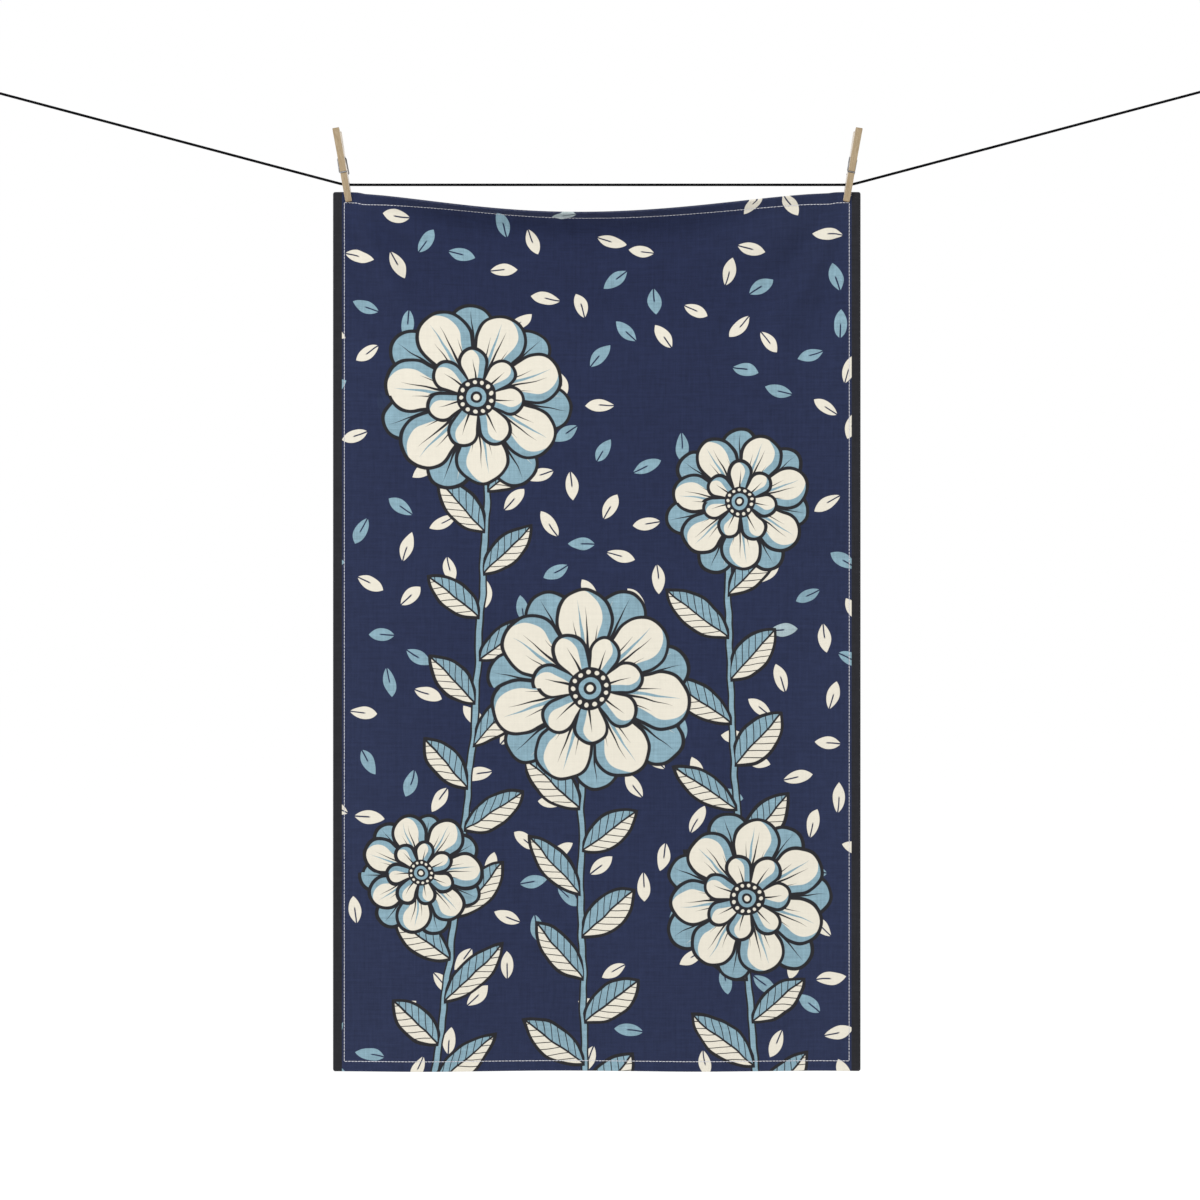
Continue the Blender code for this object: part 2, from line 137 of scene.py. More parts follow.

# How far pale print evens that out, print shows through on the reverse, and the cloth's very edges are paler
# in patches
PALE_SHARE = 0.8
GHOST_SHARE = 0.20
EDGE_PALE_SHARE = 0.12

# The line, with the same values as in the part's source
LINE_RADIUS = 0.00115
LINE_RISE_DEG = 14.88
LINE_BEND_X = 0.2196
LINE_END_X = 0.5391
LINE_ROUTE_X = (0.0, 0.0700, 0.1400, 0.1950, 0.2140, 0.2180, 0.2212, 0.2252, 0.2450, 0.3150, 0.3950, 0.4700)
BEND_ROUNDING = 0.0022
KNOT_GAP = 0.0003
KNOT_LENGTH = 0.0096
KNOT_RADIUS = 0.0033
KNOT_WRAPS = 4
EYE_LENGTH = 0.0200
EYE_HALF_WIDTH = 0.0078
EYE_NARROWING = 0.8
EYE_START = 0.0068
EYE_STRAND_OFFSET = 0.00135

# The cut end that hangs out of a knot: how far behind the line's axis, then along it and above it
TAIL_OFFSET = 0.0014
TAIL_ROUTE = ((0.0029, -0.0016), (0.0046, -0.0039), (0.0067, -0.0078), (0.0088, -0.0117), (0.0101, -0.0141))

# Finish of the cord: sides of its section, length of one twist, and how its knots are wound
CORD_SIDES = 12
CORD_TWIST = 0.0060
LINE_INTO_KNOT = 0.0012
WRAP_STEPS = 14
WRAP_TAPER = 0.20
EYE_STEPS = 44

# Camera: its place, and the width that the picture spans at the line
CAMERA_PLACE = (0.00277, -2.0, -0.3598)
SEEN_WIDTH = 1.04
SENSOR_WIDTH = 36.0

# The floor, far enough below and around to stay plain
FLOOR_HEIGHT = -1.65
FLOOR_HALF = 30.0

# Soft square lights: name, place, side, power; and the point that they face
LIGHTS = (
    ("key", (-1.1, -2.0, 1.7), 1.0, 42.0),
    ("back", (1.4, 2.4, 1.4), 1.4, 30.0),
)
LIT_POINT = (0.0, 0.0, -0.38)

# How bright a plain white surface that faces the front comes out in this light
LIGHT_LEVEL = 1.35


def dye(red, green, blue):
    """Turn a colour as it shows in daylight (0 to 255) into a surface colour for this light."""
    linear = [(c / 12.92 if c <= 0.04045 else ((c + 0.055) / 1.055) ** 2.4)
              for c in (red / 255.0, green / 255.0, blue / 255.0)]
    return tuple(min(value / LIGHT_LEVEL, 0.95) for value in linear) + (1.0,)


NAVY = dye(37.5, 45.5, 76)
# The paler navy that the ground's paleness lays in, partly as painted light and painted shade
NAVY_PALE = dye(45, 53, 82)
BLACK = dye(43, 43, 47)
CREAM = dye(241, 235, 219)
PALE_BLUE = dye(141, 174, 188)
UNDYED = dye(232, 228, 218)
EDGE_PALE_TONE = dye(150, 150, 154)
THREAD_TONES = (dye(222, 222, 234), dye(246, 245, 250))
CORD_TONES = (dye(6, 6, 8), dye(24, 24, 26))
CORD_DUST = dye(48, 48, 52)
STEEL_TONES = ((0.09, 0.088, 0.085, 1.0), (0.24, 0.24, 0.25, 1.0))
WHITE = (1.0, 1.0, 1.0, 1.0)

# Wood: dark and light grain of the front and of the back legs, the back leg's paler as painted light, and
# what lies over the grain, where the pale tone of the sideways faces is painted light
FRONT_GRAIN = (dye(166, 145, 114), dye(190, 171, 140))
# The back leg's grain is paler than the front's: painted light
BACK_GRAIN_PAINTED_LIGHT = (dye(212, 200, 180), dye(232, 222, 206))
WOOD_PORES = dye(118, 97, 70)
WOOD_STAIN = dye(150, 128, 98)
WOOD_ENDS = dye(140, 116, 84)
WOOD_SIDES_PAINTED_LIGHT = dye(238, 230, 222)

# Camera at the photograph's place
camera = bpy.data.objects.new("camera", bpy.data.cameras.new("camera"))
bpy.context.scene.collection.objects.link(camera)
camera.location = CAMERA_PLACE
camera.rotation_euler = (math.radians(90.0), 0.0, 0.0)
camera.data.sensor_width = SENSOR_WIDTH
camera.data.lens = SENSOR_WIDTH * -CAMERA_PLACE[1] / SEEN_WIDTH
camera.data.clip_start = 0.05
camera.data.clip_end = 100.0
bpy.context.scene.camera = camera


def add_mesh(name, points, faces, material, smooth=True):
    """Link a new mesh object with its material."""
    mesh = bpy.data.meshes.new(name)
    mesh.from_pydata([tuple(point) for point in points], [], faces)
    if smooth:
        mesh.shade_smooth()
    mesh.materials.append(material)
    new = bpy.data.objects.new(name, mesh)
    bpy.context.scene.collection.objects.link(new)
    return new


def set_uv(mesh, per_vertex, name="cut"):
    """Store one pair of flat coordinates for each vertex."""
    layer = mesh.uv_layers.new(name=name)
    for loop in mesh.loops:
        layer.data[loop.index].uv = per_vertex[loop.vertex_index]


# Node arithmetic

# Sockets of the Mix node, which has a set of them for each type of data
MIX_SHARE = 0
MIX_VECTORS = (4, 5)
MIX_VECTOR_OUT = 1
MIX_COLOURS = (6, 7)
MIX_COLOUR_OUT = 2


def feed(tree, slot, value):
    """Give a socket what it takes: a field, another socket or a plain value."""
    if isinstance(value, Field):
        tree.links.new(value.socket, slot)
    elif isinstance(value, bpy.types.NodeSocket):
        tree.links.new(value, slot)
    else:
        slot.default_value = value


class Field:
    """One number that a node tree works out at each point of a surface."""

    def __init__(self, tree, socket):
        self.tree = tree
        self.socket = socket

    def math(self, operation, *others, clamp=False):
        node = self.tree.nodes.new("ShaderNodeMath")
        node.operation = operation
        node.use_clamp = clamp
        for slot, value in zip(node.inputs, (self,) + others):
            feed(self.tree, slot, value)
        return Field(self.tree, node.outputs[0])

    def __add__(self, other):
        return self.math("ADD", other)

    __radd__ = __add__

    def __sub__(self, other):
        return self.math("SUBTRACT", other)

    def __rsub__(self, other):
        return self.math("MULTIPLY_ADD", -1.0, other)

    def __mul__(self, other):
        return self.math("MULTIPLY", other)

    __rmul__ = __mul__

    def __truediv__(self, other):
        return self.math("DIVIDE", other)

    def __rtruediv__(self, other):
        return self.math("POWER", -1.0) * other

    def __abs__(self):
        return self.math("ABSOLUTE")

    def sin(self):
        return self.math("SINE")

    def cos(self):
        return self.math("COSINE")

    def floor(self):
        return self.math("FLOOR")

    def low(self, other):
        return self.math("MINIMUM", other)

    def high(self, other):
        return self.math("MAXIMUM", other)

    def under(self, limit, soft):
        """Return 1 below the limit and 0 above it, with a ramp of that width between."""
        if isinstance(limit, Field):
            return (limit - self).math("MULTIPLY_ADD", 1.0 / soft, 0.5, clamp=True)
        return self.math("MULTIPLY_ADD", -1.0 / soft, limit / soft + 0.5, clamp=True)

    def over(self, limit, soft):
        """Return 1 above the limit and 0 below it, with a ramp of that width between."""
        return 1.0 - self.under(limit, soft)


def length_of(a, b):
    """Return the length of the flat vector (a, b)."""
    return (a * a + b * b).math("SQRT")


def rotate(x, y, turn):
    """Turn flat coordinates by an angle in radians, which may be a field."""
    if isinstance(turn, Field):
        c, s = turn.cos(), turn.sin()
    else:
        c, s = math.cos(turn), math.sin(turn)
    return x * c + y * s, y * c - x * s


def joined(x, y, z=0.0):
    """Make a vector socket of two or three numbers."""
    node = x.tree.nodes.new("ShaderNodeCombineXYZ")
    for slot, value in zip(node.inputs, (x, y, z)):
        feed(x.tree, slot, value)
    return node.outputs[0]


def split(tree, socket):
    """Return the three numbers of a vector socket."""
    node = tree.nodes.new("ShaderNodeSeparateXYZ")
    tree.links.new(socket, node.inputs[0])
    return [Field(tree, output) for output in node.outputs]


def soft_noise(tree, vector, scale=1.0, detail=2.0, roughness=0.5):
    """Return cloudy noise, around 0.5, at a vector."""
    node = tree.nodes.new("ShaderNodeTexNoise")
    node.inputs["Scale"].default_value = scale
    node.inputs["Detail"].default_value = detail
    node.inputs["Roughness"].default_value = roughness
    tree.links.new(vector, node.inputs["Vector"])
    return Field(tree, node.outputs["Fac"])


def streaks(tree, x, y, across, along, seed, detail=1.0):
    """Return cloudy noise that is scaled on its own along each of two coordinates."""
    return soft_noise(tree, joined(x * across, y * along, seed), 1.0, detail)


def chance(x, y=0.0, seed=0.0):
    """Return three unrelated numbers from 0 to 1 for a cell of a pattern."""
    node = x.tree.nodes.new("ShaderNodeTexWhiteNoise")
    x.tree.links.new(joined(x, y, seed), node.inputs["Vector"])
    return split(x.tree, node.outputs["Color"])


def blend_colours(tree, under, over, share, mode="MIX"):
    """Lay one colour over another; each is a socket or a plain colour."""
    node = tree.nodes.new("ShaderNodeMix")
    node.data_type = "RGBA"
    node.blend_type = mode
    for number, value in zip((MIX_SHARE,) + MIX_COLOURS, (share, under, over)):
        feed(tree, node.inputs[number], value)
    return node.outputs[MIX_COLOUR_OUT]


def brightness(tree, colour):
    """Return how bright a colour socket is."""
    node = tree.nodes.new("ShaderNodeRGBToBW")
    tree.links.new(colour, node.inputs[0])
    return Field(tree, node.outputs[0])


def choose(tree, first, second, share):
    """Take the first vector where the share is 0 and the second where it is 1."""
    node = tree.nodes.new("ShaderNodeMix")
    node.data_type = "VECTOR"
    for number, value in zip((MIX_SHARE,) + MIX_VECTORS, (share, first, second)):
        feed(tree, node.inputs[number], value)
    return node.outputs[MIX_VECTOR_OUT]


def new_material(name):
    """Return a material with its node tree and shader."""
    material = bpy.data.materials.new(name)
    material.use_nodes = True
    tree = material.node_tree
    return material, tree, tree.nodes["Principled BSDF"]


def flat_place(tree):
    """Return the two flat coordinates that are stored with the mesh."""
    source = tree.nodes.new("ShaderNodeUVMap")
    source.uv_map = "cut"
    return split(tree, source.outputs["UV"])[:2]


def solid_place(tree):
    """Return the point in the shared frame, in millimetres."""
    source = tree.nodes.new("ShaderNodeTexCoord")
    return [metres * 1000.0 for metres in split(tree, source.outputs["Object"])]


def give_finish(tree, shader, colour, rough, specular=None):
    """Give a shader its colour and roughness, and its specular level where that isn't the usual one."""
    tree.links.new(colour, shader.inputs["Base Color"])
    tree.links.new(rough.socket, shader.inputs["Roughness"])
    if specular is not None:
        shader.inputs["Specular IOR Level"].default_value = specular


def bump_from(tree, shader, height, distance, strength):
    """Drive the shader's normal from a height field; the distance is its full depth in metres."""
    node = tree.nodes.new("ShaderNodeBump")
    node.inputs["Distance"].default_value = distance
    node.inputs["Strength"].default_value = strength
    tree.links.new(height.socket, node.inputs["Height"])
    tree.links.new(node.outputs["Normal"], shader.inputs["Normal"])


# The print: a plain garden pattern of open flowers, leafy stems and small loose leaves, in millimetres
OUTLINE = 3.0
INK_EDGE = 0.35

# How far the hand-cut lines of the print wander, and how many times a millimetre
WANDER = 5.0
WANDER_SCALE = 0.035

# Flower heads: x, y down from the top edge, radius, turn
HEADS = (
    (-104.0, 176.0, 84.0, 0.30),
    (124.0, 268.0, 64.0, 1.15),
    (-6.0, 430.0, 92.0, 0.72),
    (-152.0, 590.0, 54.0, 0.05),
    (130.0, 612.0, 74.0, 0.50),
)
USUAL_HEAD = 60.0
PETALS = 7
PETAL_SWAY = 0.05

# Ink on one petal: angle, then half width, start and end as shares of the flower's radius, colour
OUTER_INK = ((0.0, 0.016, 0.5, 0.93, BLACK), (-0.16, 0.012, 0.5, 0.86, CREAM))
MIDDLE_INK = (
    (-0.17, 0.013, 0.30, 0.66, BLACK),
    (0.02, 0.016, 0.30, 0.78, BLACK),
    (0.19, 0.012, 0.30, 0.60, BLACK),
    (-0.07, 0.022, 0.34, 0.84, PALE_BLUE),
)
INNER_INK = ((0.0, 0.014, 0.16, 0.42, BLACK),)

# Petal rings from the outermost: turn in petals, tip radius, tip height, colour, width of the shade beside
# each petal, spread of their lengths, seed, ink
PETAL_RINGS = (
    (0.5, 0.220, 0.760, PALE_BLUE, 0.00, 0.10, 1.0, OUTER_INK),
    (0.0, 0.265, 0.665, CREAM, 0.07, 0.10, 2.0, MIDDLE_INK),
    (0.5, 0.150, 0.375, CREAM, 0.05, 0.14, 3.0, INNER_INK),
)

# The heart of a flower, as shares of its radius: a black disc, a ring of beads and discs inside it
HEART = 0.205
BEADS = 13
BEAD_RING = 0.158
BEAD_RADIUS = 0.021
HEART_DISCS = ((0.105, PALE_BLUE), (0.062, BLACK), (0.034, CREAM))

# Stems: x at the bottom edge, lean, bow, y of the top
STEMS = (
    (-140.0, 0.060, 16.0, 176.0),
    (-10.0, 0.020, -10.0, 430.0),
    (138.0, -0.030, -12.0, 268.0),
)
STEM_HALF_WIDTH = 2.1
STEM_INK = 1.5

# Leaves on the stems: distance from leaf to leaf, foot, lean and its spread in radians, least size, ribs
LEAF_PITCH = 74.0
LEAF_FOOT = 12.0
LEAF_LEAN = 0.82
LEAF_LEAN_SPREAD = 0.30
LEAF_LENGTH = 58.0
LEAF_HALF_WIDTH = 12.0
RIB_PITCH = 8.5
RIB_SLANT = 1.1

# Loose leaves, one in each filled cell of a slanted grid
CELL = 37.0
CELL_SLANT = 0.42
ROW_SHIFT = 13.0
SCATTER = 13.0
LOOSE_LENGTH = 23.0
LOOSE_HALF_WIDTH = 5.5
LOOSE_FOOT = 12.0


def petal_distance(along, across, tip_radius, tip_height, base_radius=0.03):
    """Return the distance to the rim of a round-tipped petal that widens from the origin."""
    slope = (base_radius - tip_radius) / tip_height
    rest = math.sqrt(1.0 - slope * slope)
    at_tip = (across * -slope + along * rest).math("GREATER_THAN", rest * tip_height)
    side = across * rest + along * slope - base_radius
    tip = length_of(across, along - tip_height) - tip_radius
    return side + at_tip * (tip - side)


def leaf_distance(along, across, length, half_width):
    """Return the distance to the rim of a leaf that is pointed at both ends, from the origin up."""
    half = length / 2.0
    radius = (half * half + half_width * half_width) / (half_width * 2.0)
    return length_of(along - half, abs(across) + radius - half_width) - radius


def sector_of(angle, count):
    """Return the number of the sector that an angle falls in, and the angle from that sector's middle."""
    sector = 2.0 * math.pi / count
    index = (angle / sector).math("ROUND")
    return index, angle - index * sector


def ink_line(angle, reach, place, half_width, start, end):
    """Return a tapering line that runs out from the middle of a flower."""
    taper = (reach - start).math("DIVIDE", end - start, clamp=True)
    off = abs(angle - place) * reach
    return off.under((1.0 - taper) * half_width, 0.004) * reach.under(end, 0.004)


def print_petals(tree, colour, angle, reach, size, ring):
    """Lay one ring of petals over a flower; all lengths but its size are shares of that size."""
    turn, tip_radius, tip_height, fill, shade, spread, seed, ink = ring
    line = OUTLINE / 2.0 / size
    edge = INK_EDGE / USUAL_HEAD
    index, own = sector_of(angle + turn * (2.0 * math.pi / PETALS), PETALS)
    luck = chance(index + size, seed=seed)
    stretched = reach * (1.0 + (luck[0] - 0.5) * spread)
    own = own + (luck[1] - 0.5) * PETAL_SWAY
    along, across = stretched * own.cos(), stretched * own.sin()
    rim = petal_distance(along, abs(across), tip_radius, tip_height)
    body = fill
    if shade:
        lit = petal_distance(along - shade * 0.4, abs(across + shade), tip_radius, tip_height)
        body = blend_colours(tree, PALE_BLUE, fill, lit.under(line * -1.6, edge))
    for place, half_width, start, end, tone in ink:
        body = blend_colours(tree, body, tone, ink_line(own, stretched, place, half_width, start, end))
    colour = blend_colours(tree, colour, BLACK, rim.under(line, edge))
    return blend_colours(tree, colour, body, rim.under(line * -1.0, edge))


def print_flowers(tree, base, x, y):
    """Lay the flower heads over the base colour; each point belongs to the nearest head."""
    nearest, spot, turn = None, None, None
    for cx, cy, radius, spin in HEADS:
        gap = length_of(x - cx, y - cy) / radius
        if nearest is None:
            nearest, spot, turn = gap, (cx, cy, radius), (spin, 0.0, 0.0)
            continue
        closer = gap.math("LESS_THAN", nearest)
        spot = choose(tree, spot, (cx, cy, radius), closer)
        turn = choose(tree, turn, (spin, 0.0, 0.0), closer)
        nearest = nearest.low(gap)
    cx, cy, size = split(tree, spot)
    u, v = (x - cx) / size, (y - cy) / size
    reach = length_of(u, v)
    angle = v.math("ARCTAN2", u) + split(tree, turn)[0]
    colour = base
    for ring in PETAL_RINGS:
        colour = print_petals(tree, colour, angle, reach, size, ring)
    edge = INK_EDGE / USUAL_HEAD
    colour = blend_colours(tree, colour, BLACK, reach.under(HEART, edge))
    bead_angle = sector_of(angle, BEADS)[1]
    bead = length_of(reach - BEAD_RING, bead_angle * BEAD_RING).under(BEAD_RADIUS, edge)
    colour = blend_colours(tree, colour, CREAM, bead)
    for radius, tone in HEART_DISCS:
        colour = blend_colours(tree, colour, tone, reach.under(radius, edge))
    return colour


def print_stems(tree, base, x, y):
    """Lay the stems with their leaves over the base colour; each point belongs to the nearest stem."""
    nearest, facts = None, None
    for foot, lean, bow, top in STEMS:
        height = y * -1.0 + CLOTH_TALL
        share = height / CLOTH_TALL
        middle = share * (1.0 - share) * (4.0 * bow) + height * lean + foot
        off = x - middle
        gap, own = abs(off), joined(off, top, foot)
        if nearest is None:
            nearest, facts = gap, own
            continue
        facts = choose(tree, facts, own, gap.math("LESS_THAN", nearest))
        nearest = nearest.low(gap)
    off, top, foot = split(tree, facts)
    below = y.over(top + 10.0, 1.0)
    side, out = off.math("SIGN"), abs(off)
    run = y + side * (LEAF_PITCH / 4.0) + foot
    index = (run / LEAF_PITCH).floor()
    luck = chance(index + side * 37.0 + foot, seed=5.0)
    up = (run - index * LEAF_PITCH) * -1.0 + (LEAF_PITCH - LEAF_FOOT)
    along, across = rotate(up, out, (luck[0] - 0.5) * LEAF_LEAN_SPREAD + LEAF_LEAN)
    rim = leaf_distance(along, across, luck[1] * 10.0 + LEAF_LENGTH, luck[2] * 3.0 + LEAF_HALF_WIDTH)
    colour = blend_colours(tree, base, BLACK, out.under(STEM_HALF_WIDTH + STEM_INK, INK_EDGE) * below)
    colour = blend_colours(tree, colour, PALE_BLUE, out.under(STEM_HALF_WIDTH, INK_EDGE) * below)
    colour = blend_colours(tree, colour, BLACK, rim.under(OUTLINE * 0.45, INK_EDGE) * below)
    ribs = (along - abs(across) * RIB_SLANT) / RIB_PITCH
    ribs = abs(ribs - ribs.math("ROUND")) * RIB_PITCH
    vein = abs(across).under(0.8, INK_EDGE).high(ribs.under(0.55, INK_EDGE) * along.over(9.0, 2.0))
    body = blend_colours(tree, PALE_BLUE, CREAM, across.over(0.0, 0.3))
    body = blend_colours(tree, body, BLACK, vein)
    return blend_colours(tree, colour, body, rim.under(OUTLINE * -0.45, INK_EDGE) * below)


def print_loose_leaves(tree, base, x, y):
    """Scatter small plain leaves over the ground, here thicker and there thinner."""
    slanted, fallen = rotate(x, y, CELL_SLANT)
    row = (fallen / CELL).floor()
    shifted = slanted + row * ROW_SHIFT
    column = (shifted / CELL).floor()
    luck = chance(column, row, 7.0)
    more = chance(column, row, 11.0)
    u = shifted - (column + 0.5) * CELL + (luck[0] - 0.5) * SCATTER
    v = fallen - (row + 0.5) * CELL + (luck[1] - 0.5) * SCATTER
    along, across = rotate(u, v, luck[2] * (2.0 * math.pi))
    rim = leaf_distance(along + LOOSE_FOOT, across, more[1] * 3.0 + LOOSE_LENGTH, LOOSE_HALF_WIDTH)
    share = (streaks(tree, column, row, 0.45, 0.45, 50.0) - 0.5) * 2.6 + 0.72
    shown = rim.under(0.0, INK_EDGE) * share.over(more[0], 0.01)
    notch = abs(across).under(0.6, INK_EDGE) * along.under(1.0, 2.0)
    tone = blend_colours(tree, CREAM, PALE_BLUE, more[2].over(0.66, 0.01))
    return blend_colours(tree, base, tone, shown * (1.0 - notch))


def cut_coordinates(tree):
    """Return the point on the flat cloth in millimetres: x from the middle, y down from the top."""
    u, v = flat_place(tree)
    return (u - 0.5) * CLOTH_WIDE, (1.0 - v) * CLOTH_TALL


def painted_shade_and_paleness(x, y):
    """Return how pale the ground is: less pale near the top, as painted shade below the leaning hem, and
    paler near the right peg, as painted light; it is also paler down the cloth, along the top hem and towards
    the sides. Each ramp has its middle, its length and then its share.
    """
    # The first ramp keeps the top 85 mm darker: painted shade below the leaning hem; the second pales the
    # cloth past 440 mm down
    down = y.over(85.0, 100.0) * 0.23 + y.over(440.0, 620.0) * 0.48
    top_hem = y.under(12.0, 8.0) * 0.30
    # Paler near the right peg: painted light
    right_corner_painted_light = x.over(110.0, 90.0) * y.under(60.0, 60.0) * 0.45
    sides = abs(x).over(165.0, 90.0) * (y.over(250.0, 500.0) * 0.20 + 0.23)
    return down + top_hem + right_corner_painted_light + sides


def printed_colour(tree, x, y):
    """Return the colour of the printed face, before the weave."""
    hand_x = x + (soft_noise(tree, joined(x, y), WANDER_SCALE, 1.0) - 0.5) * WANDER
    hand_y = y + (soft_noise(tree, joined(y, x, 30.0), WANDER_SCALE, 1.0) - 0.5) * WANDER
    # The ground, with painted shade near the top and painted light near the right peg
    colour = blend_colours(tree, NAVY, NAVY_PALE, painted_shade_and_paleness(x, y))
    for lay_print in (print_loose_leaves, print_stems, print_flowers):
        colour = lay_print(tree, colour, hand_x, hand_y)
    strip = abs(x).over(CLOTH_WIDE / 2.0 - STRIP_WIDTH * 1000.0, 0.5)
    return blend_colours(tree, colour, BLACK, strip)


def weave(tree, x, y):
    """Return the height of the plain weave, the tone of its threads and its slubs."""
    warp_wave = (x * (math.pi / WEAVE_PITCH)).sin()
    weft_wave = (y * (math.pi / WEAVE_PITCH)).sin()
    over = (warp_wave * weft_wave).math("GREATER_THAN", 0.0)
    warp, weft = abs(warp_wave), abs(weft_wave)
    height = weft + over * (warp - weft)
    slubs = streaks(tree, x, y, 0.030, 1.15, 4.0) * 0.6 + streaks(tree, x, y, 1.15, 0.022, 9.0) * 0.4
    warp_tone = chance((x / WEAVE_PITCH).floor(), seed=1.0)[0]
    weft_tone = chance((y / WEAVE_PITCH).floor(), seed=2.0)[0]
    return height, weft_tone + over * (warp_tone - weft_tone), slubs


def edge_margin(x, y):
    """Return the distance to the nearest edge of the cloth, in millimetres."""
    side = CLOTH_WIDE / 2.0 - abs(x)
    return side.low(y.low(CLOTH_TALL - y))


def turned_over(x, y):
    """Return the print's coordinates on the reverse: the hems show what lies past the folded edge."""
    past_side = abs(x).over(CLOTH_WIDE / 2.0 - HEM_WIDE, 0.01) * x.math("SIGN") * (CLOTH_WIDE - abs(x) * 2.0)
    past_top = y.under(HEM_WIDE, 0.01) * y * -2.0
    past_bottom = y.over(CLOTH_TALL - HEM_WIDE, 0.01) * (CLOTH_TALL - y) * 2.0
    return x + past_side, y + past_top + past_bottom


def cloth_material(name, printed_side):
    """Make the cotton's finish: the printed face, or the plain reverse with its turned hem."""
    material, tree, shader = new_material(name)
    x, y = cut_coordinates(tree)
    colour = printed_colour(tree, *((x, y) if printed_side else turned_over(x, y)))
    margin = edge_margin(x, y)
    if not printed_side:
        ghost = blend_colours(tree, UNDYED, colour, GHOST_SHARE)
        colour = blend_colours(tree, ghost, colour, margin.under(HEM_WIDE, 0.4))
    height, tone, slubs = weave(tree, x, y)
    speckle = soft_noise(tree, joined(x, y, 2.0), 0.9, 3.0, 0.7)
    cloud = soft_noise(tree, joined(x, y, 6.0), 0.012, 2.0)
    broad = streaks(tree, x, y, 0.07, 0.36, 12.0) + streaks(tree, x, y, 0.36, 0.06, 17.0)
    level = tone * THREAD_SHARE + (slubs - 0.5) * SLUB_SHARE + (speckle - 0.5) * SPECKLE_SHARE
    # The weave's height lightens its crowns and darkens its hollows: painted shade
    level = level + (cloud - 0.5) * CLOUD_SHARE + height * RELIEF_SHADE_SHARE + broad * STREAK_SHARE - USUAL_LEVEL
    pale = brightness(tree, colour).over(0.47, 0.2)
    level = level * (1.0 - pale * PALE_SHARE) + 1.0
    colour = blend_colours(tree, colour, joined(level, level, level), 1.0, "MULTIPLY")
    pale_edge = margin.under(0.5, 0.9) * soft_noise(tree, joined(x, y, 8.0), 0.35, 2.0).over(0.42, 0.3)
    colour = blend_colours(tree, colour, EDGE_PALE_TONE, pale_edge * EDGE_PALE_SHARE)
    give_finish(tree, shader, colour, (slubs - 0.5) * 0.2 + 0.88, specular=0.12)
    shader.inputs["Sheen Weight"].default_value = 0.04
    shader.inputs["Sheen Roughness"].default_value = 0.5
    bump_from(tree, shader, height * 0.5 + slubs * 1.2 + speckle * 0.3, 0.00022, 0.7)
    return material


def thread_material():
    """Make the sewing thread: pale, twisted and a little glossy."""
    material, tree, shader = new_material("sewing_thread")
    u, v = flat_place(tree)
    twist = ((u * 2.2 + v) * (4.0 * math.pi)).sin() * 0.5 + 0.5
    fuzz = streaks(tree, u, v, 3.0, 6.0, 1.0, 2.0)
    colour = blend_colours(tree, *THREAD_TONES, twist * 0.6 + fuzz * 0.4)
    give_finish(tree, shader, colour, fuzz * 0.2 + 0.5)
    shader.inputs["Sheen Weight"].default_value = 0.1
    bump_from(tree, shader, twist, 0.00008, 0.6)
    return material


def wood_material(name, side, grain_tones, seed):
    """Make bare wood with its grain along a tilted peg; faces turned sideways are made paler as painted
    light.
    """
    material, tree, shader = new_material(name)
    x, y, z = solid_place(tree)
    x = x - (side * PEG_X + PEG_SHIFT) * 1000.0
    across, along = rotate(x, z, -side * math.radians(PEG_TILT_DEG))

    def grain_noise(breadth, length, number, detail, roughness=0.5, bend=0.0):
        place = joined(across * breadth + bend, y * breadth, along * length + number)
        return soft_noise(tree, place, 1.0, detail, roughness)

    bend = (grain_noise(0.12, 0.03, 0.0, 1.0) - 0.5) * 2.0
    rings = grain_noise(0.9, 0.035, seed, 3.0, 0.6, bend)
    pores = grain_noise(4.5, 0.12, seed, 2.0, 0.7)
    stain = grain_noise(0.2, 0.06, seed * 3.0, 2.0)
    share = (rings - 0.5).math("MULTIPLY_ADD", 2.4, 0.5, clamp=True)
    colour = blend_colours(tree, *grain_tones, share)
    pore_mask = pores.under(0.42, 0.10)
    colour = blend_colours(tree, colour, WOOD_PORES, pore_mask * 0.45)
    colour = blend_colours(tree, colour, WOOD_STAIN, stain.over(0.58, 0.2) * 0.35)
    ends = along.over(PEG_TOP * 1000.0 - 0.9, 0.8).high(along.under(JAW_TIP * 1000.0 + 0.7, 0.8))
    colour = blend_colours(tree, colour, WOOD_ENDS, ends * 0.5)
    # Faces turned sideways are blended towards a pale tone: painted light
    facing = tree.nodes.new("ShaderNodeNewGeometry")
    sideways = abs(split(tree, facing.outputs["True Normal"])[0]).over(0.75, 0.2)
    colour = blend_colours(tree, colour, WOOD_SIDES_PAINTED_LIGHT, sideways * (1.0 - pore_mask * 0.3) * 0.85)
    give_finish(tree, shader, colour, pores * 0.25 + 0.55, specular=0.25)
    bump_from(tree, shader, rings * 0.6 + pores * 0.4, 0.00018, 0.6)
    return material


def steel_material():
    """Make dull drawn spring wire with light tarnish."""
    material, tree, shader = new_material("spring_wire")
    place = joined(*solid_place(tree))
    patch = soft_noise(tree, place, 0.6, 3.0)
    scratch = soft_noise(tree, place, 6.0, 2.0, 0.7)
    colour = blend_colours(tree, *STEEL_TONES, patch.over(0.45, 0.3))
    give_finish(tree, shader, colour, scratch * 0.25 + 0.36)
    shader.inputs["Metallic"].default_value = 1.0
    bump_from(tree, shader, scratch, 0.00004, 0.5)
    return material


